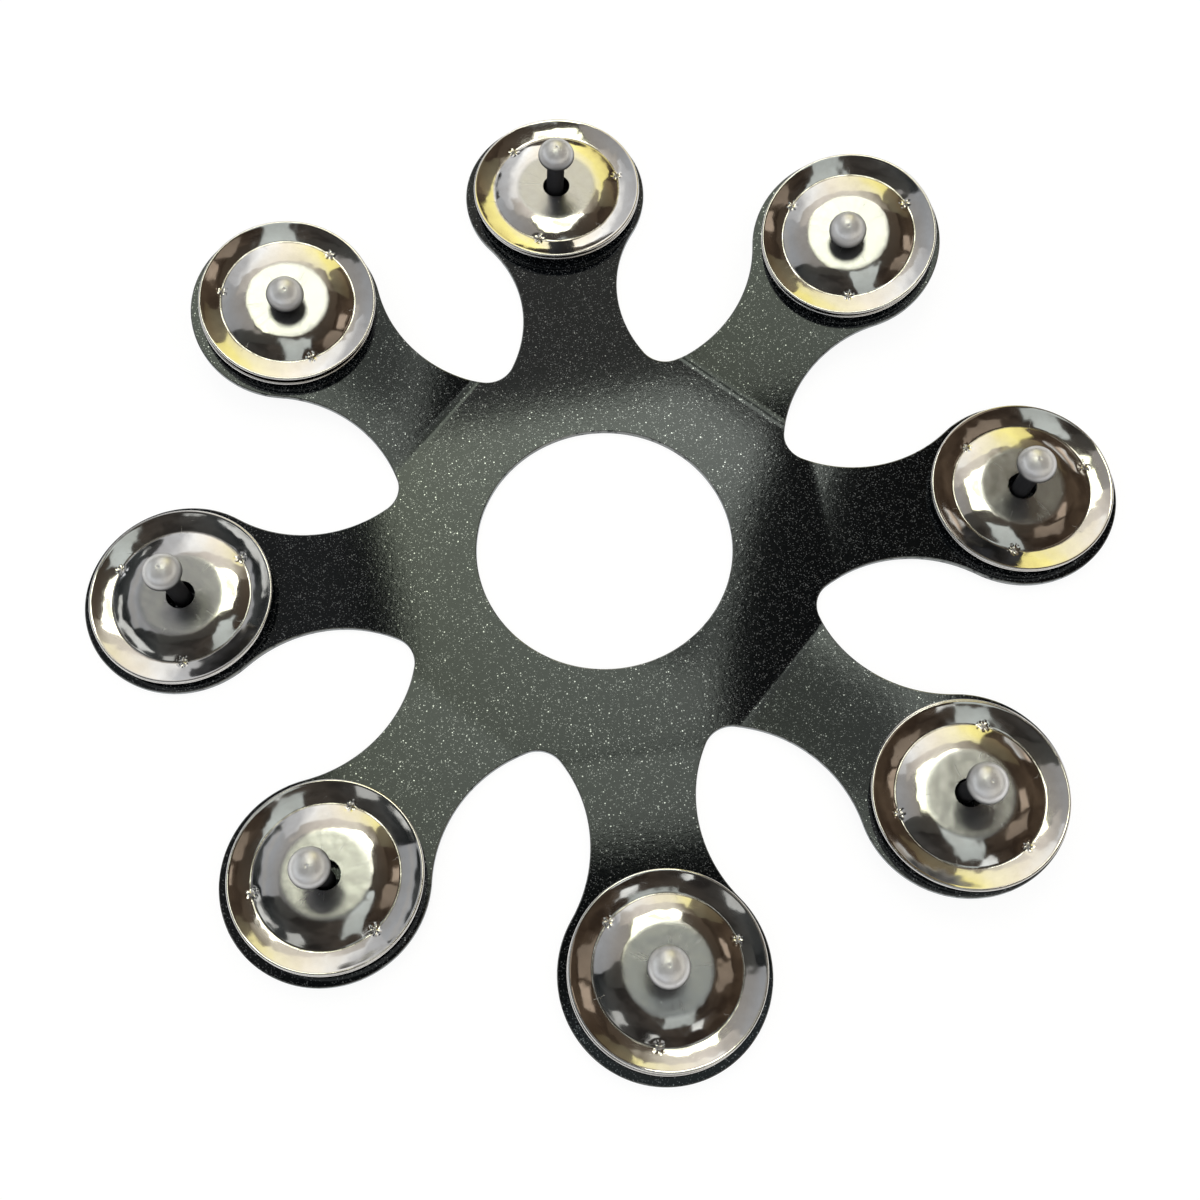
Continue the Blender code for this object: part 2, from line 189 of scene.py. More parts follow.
class Panel(NamedTuple):
    """A glowing panel over the studio floor, which the metal mirrors.

    The corners are where lines from the object meet it, as shares of its height. The colours run
    across it from its left to its right. Near and far are how bright those two ends are, and soft
    is how wide the border is over which it fades out.
    """

    name: str
    corners: tuple
    height: float
    colours: tuple
    near: float
    far: float
    soft: float


def upright(left, right, near, far):
    """The corners of a panel with straight sides."""
    return ((left, near), (right, near), (right, far), (left, far))


WHITE = (0.97, 1.00, 0.99)
CREAM = (1.00, 0.94, 0.80)
YELLOW = (1.00, 0.91, 0.34)
TAN = (1.00, 0.80, 0.62)
COOL = (0.88, 0.93, 1.00)
GREY = (0.42, 0.43, 0.45)


def plain(colour):
    """One colour from side to side."""
    return ((0.0, colour), (1.0, colour))


KEY_OUTLINE = (
    (-0.133, 0.212),
    (0.116, 0.212),
    (0.124, 0.270),
    (0.136, 0.320),
    (0.166, 0.412),
    (0.194, 0.462),
    (0.200, 0.494),
    (0.138, 0.544),
    (0.018, 0.535),
    (-0.150, 0.526),
    (-0.134, 0.432),
    (-0.123, 0.360),
    (-0.134, 0.270),
)
SHADE_OUTLINE = (
    (-0.021, 0.471),
    (-0.035, 0.415),
    (0.085, 0.295),
    (0.115, 0.290),
    (0.130, 0.335),
    (0.120, 0.400),
    (0.035, 0.485),
)
FAR_OUTLINE = (
    (-0.42, 0.62),
    (0.34, 0.62),
    (0.52, 0.92),
    (0.80, 1.25),
    (0.84, 2.60),
    (-0.68, 2.60),
    (-0.66, 1.00),
    (-0.52, 0.78),
)
BEAM_OUTLINE = (
    (-1.14, 0.62),
    (-1.10, 0.25),
    (-0.80, -0.06),
    (-0.60, -0.16),
    (-0.72, 0.02),
    (-0.98, 0.30),
    (-1.02, 0.62),
)
KEY_COLOURS = ((0.0, (0.80, 0.82, 0.60)), (0.45, (0.96, 0.98, 0.80)), (1.0, (1.00, 1.00, 0.88)))
FAR_COLOURS = (
    (0.00, GREY),
    (0.18, (0.50, 0.51, 0.53)),
    (0.28, (0.95, 0.96, 0.96)),
    (0.45, CREAM),
    (0.60, (1.00, 0.94, 0.66)),
    (0.76, YELLOW),
    (1.00, (0.74, 0.64, 0.24)),
)
CREAM_COLOURS = (
    (0.00, (0.55, 0.53, 0.50)),
    (0.35, (1.00, 0.93, 0.85)),
    (0.70, CREAM),
    (1.00, (0.26, 0.22, 0.16)),
)
SILVER_COLOURS = ((0.0, COOL), (0.18, (1.0, 1.0, 1.0)), (0.3, COOL), (1.0, (0.85, 0.80, 0.74)))
GLASS_COLOURS = ((0.0, WHITE), (0.4, (0.30, 0.24, 0.18)), (0.6, TAN), (1.0, WHITE))
LAMP_COLOURS = plain((0.92, 1.00, 0.98))
WOOD_COLOURS = ((0.0, (0.85, 0.75, 0.50)), (1.0, (0.60, 0.45, 0.25)))
NEAR_COLOURS = ((0.0, COOL), (0.5, (0.5, 0.5, 0.5)), (1.0, CREAM))
LEFT_COLOURS = ((0.0, WHITE), (1.0, COOL))
RIGHT_COLOURS = ((0.0, CREAM), (1.0, WHITE))
CEILING_COLOURS = ((0.0, (0.85, 0.88, 0.85)), (1.0, (0.75, 0.55, 0.38)))

PANELS = (
    Panel("key", KEY_OUTLINE, 2.00, KEY_COLOURS, 2.8, 5.3, 0.04),
    Panel("key_shade", SHADE_OUTLINE, 1.96, KEY_COLOURS, 1.1, 1.3, 0.07),
    Panel("cream", upright(-0.34, 0.34, 0.50, 0.74), 2.08, CREAM_COLOURS, 0.70, 0.80, 0.10),
    Panel("far_wall", FAR_OUTLINE, 2.12, FAR_COLOURS, 1.00, 1.45, 0.10),
    Panel("left_wall", upright(-0.78, -0.16, 0.16, 0.92), 2.16, SILVER_COLOURS, 0.34, 0.46, 0.14),
    Panel("left_beam", BEAM_OUTLINE, 2.00, plain(WHITE), 0.75, 0.65, 0.05),
    Panel("left_spot", upright(-0.95, -0.85, 1.15, 1.35), 2.00, plain(WHITE), 0.6, 0.6, 0.05),
    Panel("near_left", upright(-0.52, -0.36, -0.34, -0.20), 2.00, plain(WHITE), 0.5, 0.5, 0.05),
    Panel("near_window", upright(0.16, 0.29, -0.44, -0.30), 2.00, plain(WHITE), 1.0, 0.8, 0.04),
    Panel("near_spot", upright(-0.20, -0.12, -0.52, -0.44), 2.00, plain(WHITE), 0.8, 0.8, 0.03),
    Panel("near_lamp", upright(-0.03, 0.17, -0.30, 0.10), 2.04, LAMP_COLOURS, 0.45, 0.65, 0.16),
    Panel("right_box", upright(0.34, 0.62, -0.10, 0.08), 2.00, plain(TAN), 0.20, 0.28, 0.16),
    Panel("right_shelf", upright(0.48, 0.62, 0.12, 0.27), 2.02, plain(TAN), 0.45, 0.45, 0.12),
    Panel("right_wall", upright(0.36, 0.70, 0.50, 0.95), 2.20, WOOD_COLOURS, 0.16, 0.34, 0.16),
    Panel("right_window", upright(0.84, 1.16, 0.66, 1.06), 2.00, GLASS_COLOURS, 0.7, 0.7, 0.08),
    Panel("near_wall", upright(-1.30, 1.30, -2.60, -0.66), 2.06, NEAR_COLOURS, 1.0, 0.8, 0.12),
    Panel("left_side", upright(-3.40, -1.35, -1.60, 2.20), 2.06, LEFT_COLOURS, 0.8, 0.9, 0.12),
    Panel("right_side", upright(1.42, 3.40, -1.60, 2.20), 2.06, RIGHT_COLOURS, 0.8, 0.9, 0.12),
    Panel("ceiling", upright(-0.46, 0.40, 0.02, 0.66), 2.40, CEILING_COLOURS, 0.06, 0.14, 0.30),
)


class Reading:
    """What a shader node gives out. A sum on it adds the Math node that works it out."""

    def __init__(self, output):
        self.output = output

    def maths(self, operation, first, second, limit=False):
        settings = {"operation": operation, "use_clamp": limit}
        return Nodes(self.output.id_data).node("ShaderNodeMath", settings, {0: first, 1: second})

    def __add__(self, other):
        return self.maths("ADD", self, other)

    def __sub__(self, other):
        return self.maths("SUBTRACT", self, other)

    def __mul__(self, other):
        return self.maths("MULTIPLY", self, other)

    def __lt__(self, other):
        return self.maths("LESS_THAN", self, other)

    def __truediv__(self, other):
        return self.maths("DIVIDE", self, other)

    def __radd__(self, other):
        return self.maths("ADD", other, self)

    def __rsub__(self, other):
        return self.maths("SUBTRACT", other, self)

    def __rmul__(self, other):
        return self.maths("MULTIPLY", other, self)

    def most(self, other):
        return self.maths("MAXIMUM", self, other)

    def ramp(self, low, high):
        """0 below low and 1 above high, with a straight rise between, or a fall if low > high."""
        return self.maths("MULTIPLY", self - low, 1 / (high - low), limit=True)


class Nodes:
    """The nodes of a material or of the world, and the ways to add one."""

    def __init__(self, tree):
        self.tree = tree

    def node(self, kind, settings=None, inputs=None, give=0):
        """Add a node, set it up, give its sockets their values or links, and return an output."""
        node = self.tree.nodes.new(kind)
        for name, value in (settings or {}).items():
            if name == "stops":
                ramp = node.color_ramp
                while len(ramp.elements) < len(value):
                    ramp.elements.new(1.0)
                for element, (place, colour) in zip(ramp.elements, value):
                    element.position = place
                    element.color = (*colour, 1.0)
            else:
                setattr(node, name, value)
        for name, value in (inputs or {}).items():
            self.put(node.inputs[name], value)
        return Reading(node.outputs[give])

    def put(self, socket, value):
        if isinstance(value, Reading):
            self.tree.links.new(value.output, socket)
        else:
            socket.default_value = value

    def apart(self, vector):
        return [self.node("ShaderNodeSeparateXYZ", None, {0: vector}, give) for give in (0, 1, 2)]

    def together(self, x, y, z):
        return self.node("ShaderNodeCombineXYZ", None, {0: x, 1: y, 2: z})

    def noise(self, vector, scale, detail=2.0, roughness=0.5):
        inputs = {"Vector": vector, "Scale": scale, "Detail": detail, "Roughness": roughness}
        return self.node("ShaderNodeTexNoise", None, inputs, give="Fac")

    def blend(self, share, first, second):
        """A colour between two others."""
        inputs = {0: share, 6: first, 7: second}
        return self.node("ShaderNodeMix", {"data_type": "RGBA"}, inputs, give=2)

    def bump(self, height, distance, strength=1.0, normal=None):
        inputs = {"Height": height, "Distance": distance, "Strength": strength}
        if normal is not None:
            inputs["Normal"] = normal
        return self.node("ShaderNodeBump", None, inputs)


class Finish(Nodes):
    """One material, its nodes and the Principled shader that they feed."""

    def __init__(self, name, **constants):
        self.material = bpy.data.materials.new(name)
        self.material.use_nodes = True
        super().__init__(self.material.node_tree)
        self.shader = self.tree.nodes["Principled BSDF"]
        self.feed(**constants)

    def feed(self, **values):
        """Give the shader's sockets their values or links; _ stands for a space in a name."""
        for name, value in values.items():
            self.put(self.shader.inputs[name.replace("_", " ")], value)

    def mix_on_surface(self, share, first, second):
        """Show one shader where the share is 0 and another where it is 1."""
        mixed = self.node("ShaderNodeMixShader", None, {0: share, 1: first, 2: second})
        self.put(self.tree.nodes["Material Output"].inputs["Surface"], mixed)

    def place(self):
        return self.node("ShaderNodeTexCoord", give="Object")

    def own(self, name, give="Vector"):
        """What the piece's own attribute of that name says."""
        return self.node("ShaderNodeAttribute", {"attribute_name": name}, give=give)


def tint(red, green, blue):
    return (red, green, blue, 1.0)


def painted_plate():
    """Black metal-flake paint: satin, with orange peel and bright metal on the rubbed edges."""
    finish = Finish("black flake paint", IOR=1.42, Specular_Tint=tint(0.88, 0.96, 1.0))
    place = finish.place()
    clusters = finish.noise(place, 240.0, 2.0)
    flake = None
    for scale, share, size in FLAKE_LAYERS:
        inputs = {"Vector": place, "Scale": scale}
        distance = finish.node("ShaderNodeTexVoronoi", None, inputs, give="Distance")
        lots = finish.node("ShaderNodeTexVoronoi", None, inputs, give="Color")
        chance, glint, _ = finish.apart(lots)
        here = (distance < size) * (chance < share * (0.4 + 1.2 * clusters))
        spot = here * (0.25 + 0.75 * glint * glint)
        flake = spot if flake is None else flake.most(spot * 0.6)
    cloud = finish.noise(place, 45.0, 3.0).ramp(0.3, 0.7)
    grain = finish.noise(place, 1500.0, 3.0, 0.7)
    base = finish.blend(cloud, tint(0.0018, 0.0026, 0.0036), tint(0.0030, 0.0040, 0.0050))
    base = finish.blend(grain.ramp(0.45, 0.75), base, tint(0.0042, 0.0050, 0.0056))
    colour = finish.blend(flake, base, tint(0.35, 0.37, 0.38))
    edge = finish.own("worn_edge", give="Fac")
    rub = (finish.noise(place, 700.0, 3.0, 0.6) + edge * 0.45).ramp(0.80, 0.90)
    colour = finish.blend(rub * edge, colour, tint(0.22, 0.22, 0.21))
    peel = finish.noise(place, 380.0, 2.0)
    normal = finish.bump(peel, 0.02 * MM, 0.20)
    normal = finish.bump(grain, 0.01 * MM, 0.60, normal)
    finish.feed(
        Base_Color=colour,
        Metallic=flake.most(rub * edge * 0.7),
        Roughness=(0.03 + 0.06 * grain).most(flake * 0.08),
        Normal=normal,
    )
    return finish.material


def nickel():
    """Bright nickel plate: mirror bands, a satin middle, a patchy darker and rougher ring along
    the crease and fine scratches.
    """
    finish = Finish("bright nickel", Metallic=1.0)
    place = finish.own("disc_place")
    x, y, z = finish.apart(place)
    flat = finish.together(x, y, 0.0)
    radius = finish.node("ShaderNodeVectorMath", {"operation": "LENGTH"}, {0: flat}, give="Value")
    middle = radius.ramp(DISC_MIDDLE_RADIUS / MM + 0.8, DISC_MIDDLE_RADIUS / MM)
    streak_place = finish.together(x / radius * 8, y / radius * 8, z + radius * 0.1)
    streak = finish.noise(streak_place, 1.0, 4.0, 0.75).ramp(0.52, 0.72)
    brushing = finish.noise(finish.together(x * 0.25, y * 4.5, z), 1.4, 4.0, 0.7)
    rings = finish.noise(finish.together(radius * 6.0, x * 0.05, z), 1.0, 3.0, 0.6)
    smudge = finish.noise(place, 0.22, 4.0, 0.6)
    hair_place = finish.together(x * 0.25 + y * 0.2, y * 3.1 - x * 1.6, z)
    hair = finish.noise(hair_place, 1.1, 5.0, 0.75).ramp(0.66, 0.80)
    bright = finish.blend(smudge.ramp(0.35, 0.7), tint(0.86, 0.84, 0.81), tint(0.76, 0.73, 0.69))
    polish = brushing * 0.9 - streak * 0.2
    satin = finish.blend(polish, tint(0.50, 0.50, 0.50), tint(0.70, 0.70, 0.69))
    colour = finish.blend(middle, bright, satin)
    outside = radius - CREASE_RADIUS / MM
    beside_crease = finish.node("ShaderNodeMath", {"operation": "ABSOLUTE"}, {0: outside})
    # Patches along the crease, darker in colour and a little rougher.
    dark_crease_patches = beside_crease.ramp(0.35, 0.10) * smudge.ramp(0.35, 0.60)
    colour = finish.blend(dark_crease_patches * 0.75, colour, tint(0.16, 0.14, 0.11))
    waves = finish.noise(place, 0.28, 1.0)
    normal = finish.bump(rings, 0.01 * MM, 0.12)
    normal = finish.bump(waves, 0.08 * MM, 0.8, normal)
    normal = finish.bump(pinch_star(finish, smudge), 0.08 * MM, 0.55, normal)
    fine = middle * (brushing - 0.2 * streak) + hair * 0.6
    normal = finish.bump(fine, 0.02 * MM, 0.25, normal)
    dull = 0.06 * smudge + middle * (0.17 + 0.04 * streak) + 0.08 * hair + 0.15 * dark_crease_patches
    finish.feed(Base_Color=colour, Roughness=0.045 + dull, Normal=normal)
    return finish.material


def pinch_star(finish, smudge):
    """The small creases that run out from each pinch like a star, as a height."""
    beside, outward, _ = finish.apart(finish.own("pinch_place"))
    turn = finish.node("ShaderNodeMath", {"operation": "ARCTAN2"}, {0: outward, 1: beside})
    rays = finish.node("ShaderNodeMath", {"operation": "COSINE"}, {0: turn * 5 + smudge * 9})
    return (beside * beside + outward * outward).ramp(1.7, 0.1) * rays


def satin_steel():
    """Tumbled steel, satin and a little pitted on the heads, with painted shade that darkens it
    from the crown down.
    """
    finish = Finish(
        "satin steel",
        Metallic=0.70,
        Specular_IOR_Level=0.0,
        Specular_Tint=tint(0.30, 0.30, 0.30),
    )
    place = finish.own("pin_place")
    x, y, z = finish.apart(place)
    turning = finish.noise(finish.together(z * 9.0, x * 0.3, y * 0.3), 1.0, 3.0, 0.6)
    pits = finish.noise(place, 2.6, 3.0, 0.7).ramp(0.60, 0.72)
    cloud = finish.noise(place, 0.5, 3.0)
    colour = finish.blend(cloud.ramp(0.3, 0.7), tint(0.96, 0.95, 0.94), tint(0.86, 0.85, 0.84))
    colour = finish.blend(pits * 0.35, colour, tint(0.45, 0.44, 0.42))
    # Painted shade: the colour darkens from the head's crown down over its underside and the
    # shank.
    painted_shade_below_crown = finish.own("crown", give="Fac").ramp(0.66, -0.05)
    colour = finish.blend(painted_shade_below_crown, colour, tint(0.07, 0.07, 0.075))
    normal = finish.bump(turning, 0.01 * MM, 0.25)
    normal = finish.bump(1 - pits, 0.02 * MM, 0.2, normal)
    finish.feed(Base_Color=colour, Roughness=0.32 + 0.08 * cloud + 0.08 * pits, Normal=normal)
    return finish.material


def object_from(bm, name, material):
    """Turn a bmesh into an object of one material, and let go of the bmesh."""
    mesh = bpy.data.meshes.new(name)
    bm.to_mesh(mesh)
    bm.free()
    mesh.materials.append(material)
    made = bpy.data.objects.new(name, mesh)
    bpy.context.collection.objects.link(made)
    return made


def piece_from(bm, name, material, sharp_angle):
    """Turn a bmesh into a piece of the object, with outward faces and smooth shading."""
    bmesh.ops.recalc_face_normals(bm, faces=bm.faces)
    piece = object_from(bm, name, material)
    piece.data.shade_smooth()
    piece.data.set_sharp_from_angle(angle=radians(sharp_angle))
    return piece


def draw_arc(bm, start, centre, angle, steps):
    """Carry a vertex round a centre, which draws an arc, and return the vertex at its end."""
    made = bmesh.ops.spin(
        bm,
        geom=[start],
        cent=(centre.x, centre.y, 0),
        axis=(0, 0, 1),
        angle=angle,
        steps=steps,
    )
    return next(item for item in made["geom_last"] if isinstance(item, bmesh.types.BMVert))


def direction_to(start, end):
    """The azimuth in which one point lies as seen from another."""
    return atan2(end.y - start.y, end.x - start.x)


def draw_half_arm(bm):
    """One side of the arm on +X as three arcs, each tangent to the next: end, neck and valley."""
    half_pitch = ARM_PITCH / 2
    end_centre = Vector((PIN_CIRCLE_RADIUS, 0.0))
    neck_centre_y = NECK_WIDTH / 2 + NECK_ARC_RADIUS
    reach = ARM_END_RADIUS + NECK_ARC_RADIUS
    neck_centre = Vector((PIN_CIRCLE_RADIUS - sqrt(reach**2 - neck_centre_y**2), neck_centre_y))
    valley_line = Vector((cos(half_pitch), sin(half_pitch)))
    along = neck_centre.dot(valley_line)
    beside = neck_centre.cross(valley_line)
    inner = NECK_ARC_RADIUS - VALLEY_ARC_RADIUS
    valley_centre = valley_line * (along - sqrt(inner**2 - beside**2))
    end_angle = direction_to(end_centre, neck_centre)
    neck_turn = direction_to(neck_centre, valley_centre) - (end_angle - pi)
    valley_turn = half_pitch - pi - direction_to(neck_centre, valley_centre)
    tip = bm.verts.new((PIN_CIRCLE_RADIUS + ARM_END_RADIUS, 0.0, 0.0))
    neck = draw_arc(bm, tip, end_centre, end_angle, ARM_END_STEPS)
    valley = draw_arc(bm, neck, neck_centre, neck_turn, NECK_STEPS)
    draw_arc(bm, valley, valley_centre, valley_turn, VALLEY_STEPS)


def bent_frame(rise, distance):
    """Where a flat arm along +X is carried at a distance from the middle, once it is bent up."""
    share = min(1.0, max(0.0, (distance - BEND_START) / BEND_LENGTH))
    angle = radians(rise) * share
    curve = BEND_LENGTH * share
    if angle > 0:
        radius = curve / angle
        arc_end = Vector((BEND_START + radius * sin(angle), 0.0, radius * (1 - cos(angle))))
    else:
        arc_end = Vector((BEND_START + curve, 0.0, 0.0))
    half_sheet = Vector((0.0, 0.0, PLATE_THICKNESS / 2))
    turn = Matrix.Rotation(-angle, 4, "Y")
    flat_end = Vector((BEND_START + curve, 0.0, 0.0)) + half_sheet
    return Matrix.Translation(arc_end + half_sheet) @ turn @ Matrix.Translation(-flat_end)


def bend_arm(bm, index, rise):
    """Cut a flat arm across at the bend and curve all of it from there outwards."""
    to_arm = Matrix.Rotation(-index * ARM_PITCH, 4, "Z")
    from_arm = to_arm.inverted()
    first_cut = BEND_START - BEND_MARGIN
    last_cut = BEND_START + BEND_LENGTH + BEND_MARGIN

    def on_arm(vert):
        local = to_arm @ vert.co
        return local.x > first_cut and abs(atan2(local.y, local.x)) < ARM_PITCH / 2

    outwards = from_arm.to_3x3().col[0]
    curve = [BEND_START + BEND_LENGTH * step / BEND_STEPS for step in range(BEND_STEPS + 1)]
    for distance in [first_cut, *curve, last_cut]:
        faces = [face for face in bm.faces if any(on_arm(vert) for vert in face.verts)]
        edges = {edge for face in faces for edge in face.edges}
        verts = {vert for face in faces for vert in face.verts}
        bmesh.ops.bisect_plane(
            bm,
            geom=[*faces, *edges, *verts],
            dist=SAME_PLACE,
            plane_co=outwards * distance,
            plane_no=outwards,
        )
    for vert in [vert for vert in bm.verts if on_arm(vert)]:
        local = to_arm @ vert.co
        vert.co = from_arm @ bent_frame(rise, local.x) @ local


def pin_hole_at(vert):
    """Whether a vertex of the flat star is on the wall of one of the eight pin holes."""
    nearest = round(atan2(vert.co.y, vert.co.x) / ARM_PITCH) * ARM_PITCH
    place = Vector((PIN_CIRCLE_RADIUS * cos(nearest), PIN_CIRCLE_RADIUS * sin(nearest)))
    return (vert.co.xy - place).length < ARM_END_RADIUS / 2


def rise_over(verts):
    heights = [vert.co.z for vert in verts]
    return max(heights) - min(heights)


def round_edges(bm, edges, width, segments):
    bmesh.ops.bevel(
        bm,
        geom=edges,
        offset=width,
        segments=segments,
        profile=0.5,
        affect="EDGES",
        material=-1,
        clamp_overlap=False,
    )


def cut_hole(bm, radius, segments, place):
    """Draw a circle, which the fill of the star's outline leaves open."""
    bmesh.ops.create_circle(bm, cap_ends=False, radius=radius, segments=segments, matrix=place)


def make_plate(material):
    """The star cut from sheet, with its edges broken and its pin holes countersunk below."""
    bm = bmesh.new()
    draw_half_arm(bm)
    outline = [*bm.verts, *bm.edges]
    bmesh.ops.mirror(bm, geom=outline, matrix=Matrix(), merge_dist=SAME_PLACE, axis="Y")
    bmesh.ops.spin(
        bm,
        geom=[*bm.verts, *bm.edges],
        cent=(0, 0, 0),
        axis=(0, 0, 1),
        angle=2 * pi,
        steps=ARM_COUNT,
        use_duplicate=True,
    )
    bmesh.ops.remove_doubles(bm, verts=bm.verts, dist=5 * SAME_PLACE)
    cut_hole(bm, CENTRE_HOLE_RADIUS, CENTRE_HOLE_STEPS, Matrix())
    for index in range(ARM_COUNT):
        turn = Matrix.Rotation(index * ARM_PITCH, 4, "Z")
        place = turn @ Matrix.Translation((PIN_CIRCLE_RADIUS, 0, 0))
        cut_hole(bm, TAIL_HOLE_RADIUS, TAIL_HOLE_STEPS, place)
    bmesh.ops.triangle_fill(bm, use_beauty=True, edges=bm.edges, normal=(0, 0, 1))
    made = bmesh.ops.extrude_face_region(bm, geom=bm.faces[:])
    top = [item for item in made["geom"] if isinstance(item, bmesh.types.BMVert)]
    bmesh.ops.translate(bm, verts=top, vec=(0, 0, PLATE_THICKNESS))
    bmesh.ops.recalc_face_normals(bm, faces=bm.faces)
    corners = [edge for edge in bm.edges if edge.calc_face_angle(0) > radians(CORNER_ANGLE)]
    level = [edge for edge in corners if rise_over(edge.verts) < SAME_HEIGHT]
    holes = [edge for edge in level if pin_hole_at(edge.verts[0])]
    outer = [edge for edge in level if not pin_hole_at(edge.verts[0])]
    below = [edge for edge in holes if edge.verts[0].co.z < PLATE_THICKNESS / 2]
    round_edges(bm, outer, EDGE_BREAK, EDGE_BREAK_STEPS)
    round_edges(bm, below, COUNTERSINK_DEPTH, 1)
    worn = bm.faces.layers.float.new("worn_edge")
    for face in bm.faces:
        face[worn] = 0.0 if rise_over(face.verts) < SAME_HEIGHT else 1.0
    for index, arm in enumerate(ARMS):
        if arm.rise > 0:
            bend_arm(bm, index, arm.rise)
    plate = piece_from(bm, "plate", material, PLATE_SHARP_ANGLE)
    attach(plate, "frame")
    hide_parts("star_plate")


def revolve(profile, segments, closed):
    """Spin a profile of (radius, height) points once round the Z axis."""
    bm = bmesh.new()
    verts = [bm.verts.new((radius, 0.0, height)) for radius, height in profile]
    pairs = list(zip(verts, verts[1:]))
    if closed:
        pairs.append((verts[-1], verts[0]))
    edges = [bm.edges.new(pair) for pair in pairs]
    bmesh.ops.spin(
        bm,
        geom=verts + edges,
        cent=(0, 0, 0),
        axis=(0, 0, 1),
        angle=2 * pi,
        steps=segments,
        use_merge=True,
    )
    bmesh.ops.remove_doubles(bm, verts=bm.verts, dist=SAME_PLACE)
    bmesh.ops.recalc_face_normals(bm, faces=bm.faces)
    return bm


def keep_place(bm, name, shift=0.0):
    """Note each vertex's own place in millimetres, so that a pattern can follow the piece."""
    layer = bm.verts.layers.float_vector.new(name)
    for vert in bm.verts:
        vert[layer] = vert.co / MM + Vector((0.0, 0.0, shift))


def tilt_matrix(tilt, toward):
    """Turn that leans +Z by tilt degrees towards the azimuth given in degrees."""
    azimuth = Matrix.Rotation(radians(toward), 4, "Z")
    return azimuth @ Matrix.Rotation(radians(tilt), 4, "Y") @ azimuth.inverted()


def pin_profile(pin_height):
    """A pin's half outline from its peened end to the pit in its head, z = 0 on the plate."""
    end = TAIL_RECESS - PLATE_THICKNESS
    points = [
        (0.0, end + TAIL_DISH_DEPTH),
        (TAIL_DISH_RADIUS, end + TAIL_DISH_DEPTH / 4),
        (TAIL_FLARE_RADIUS - TAIL_LIP, end),
        (TAIL_FLARE_RADIUS, end + TAIL_LIP),
        (TAIL_RADIUS, end + TAIL_FLARE_HEIGHT),
        (TAIL_RADIUS, SEAT_GAP),
        (SHANK_RADIUS - SHANK_EDGE, SEAT_GAP),
        (SHANK_RADIUS, SEAT_GAP + SHANK_EDGE),
        (SHANK_RADIUS, COLLAR_HEIGHT),
    ]
    undercut_angle = acos(SHANK_RADIUS / HEAD_RADIUS)
    for step in range(UNDERCUT_STEPS):
        angle = undercut_angle * (1 - step / UNDERCUT_STEPS)
        points.append((HEAD_RADIUS * cos(angle), pin_height - HEAD_UNDERCUT * sin(angle)))
    pit_angle = acos(HEAD_PIT_RADIUS / HEAD_RADIUS)
    for step in range(CROWN_STEPS + 1):
        angle = pit_angle * step / CROWN_STEPS
        points.append((HEAD_RADIUS * cos(angle), pin_height + HEAD_CROWN * sin(angle)))
    top = points[-1][1]
    points += [(radius, top - depth) for radius, depth in HEAD_PIT_WALL]
    return points


def make_pin(index, arm, material):
    """A ball-headed pin whose tail stays square in the plate while its shank leans."""
    number = index + 1
    bm = revolve(pin_profile(arm.pin_height), PIN_SEGMENTS, closed=False)
    keep_place(bm, "pin_place", PATTERN_STEP * number)
    # Height over the head's widest ring, in crown heights, which the steel's painted shade reads.
    crown = bm.verts.layers.float.new("crown")
    for vert in bm.verts:
        vert[crown] = (vert.co.z - arm.pin_height) / HEAD_CROWN
    lean = tilt_matrix(arm.lean, arm.lean_toward)
    for vert in bm.verts:
        if vert.co.z > (SEAT_GAP + COLLAR_HEIGHT) / 2:
            vert.co = lean @ vert.co
    along_arm = Matrix.Rotation(index * ARM_PITCH, 4, "Z")
    pin_foot = Matrix.Translation((PIN_CIRCLE_RADIUS, 0.0, PLATE_THICKNESS))
    bm.transform(along_arm @ bent_frame(arm.rise, PIN_CIRCLE_RADIUS) @ pin_foot)
    pin = piece_from(bm, f"ball_pin_{number}", material, ROUND_SHARP_ANGLE)
    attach(pin, "frame")
    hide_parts(f"jingle_pin_{number}")


def sharp_level(radius):
    """Height of the middle of the sheet before its corners are softened."""
    if radius <= DISC_MIDDLE_RADIUS:
        return 0.0
    if radius <= CREASE_RADIUS:
        share = (radius - DISC_MIDDLE_RADIUS) / (CREASE_RADIUS - DISC_MIDDLE_RADIUS)
        return -CREASE_DROP * share + SLOPE_BOW * sin(pi * share)
    share = (radius - CREASE_RADIUS) / (RIM_RADIUS - CREASE_RADIUS)
    return -CREASE_DROP + RIM_RISE * share - BAND_SAG * sin(pi * min(share, 1.0))


def disc_level(radius):
    """Height of the middle of the sheet, with its corners rounded by the press."""
    steps = range(-PRESS_SAMPLES, PRESS_SAMPLES + 1)
    samples = [sharp_level(radius + PRESS_SOFTNESS * step / PRESS_SAMPLES) for step in steps]
    return sum(samples) / len(samples)


def disc_profile(rings):
    """A jingle's closed half section: over the top to the rounded rim and back underneath.

    The rings lie closer together about the crease.
    """
    spine = []
    width = RIM_RADIUS - SHEET / 2 - DISC_HOLE_RADIUS
    crease_share = (CREASE_RADIUS - DISC_HOLE_RADIUS) / width
    for ring in range(rings + 1):
        share = ring / rings
        gather = sin(2 * pi * (share - crease_share)) - sin(2 * pi * -crease_share)
        share -= gather * (1 - share) * RING_GATHERING
        radius = DISC_HOLE_RADIUS + width * share
        spine.append(Vector((radius, disc_level(radius))))
    above = []
    below = []
    for ring, point in enumerate(spine):
        along = spine[min(ring + 1, rings)] - spine[max(ring - 1, 0)]
        across = Vector((-along.y, along.x)).normalized() * SHEET / 2
        above.append(point + across)
        below.append(point - across)
    rim = spine[-1]
    out = (above[-1] - rim).normalized()
    bow = []
    for step in range(1, RIM_STEPS):
        turn = Matrix.Rotation(-pi * step / RIM_STEPS, 2)
        bow.append(rim + turn @ out * SHEET / 2)
    return [tuple(point) for point in above + bow + list(reversed(below))]


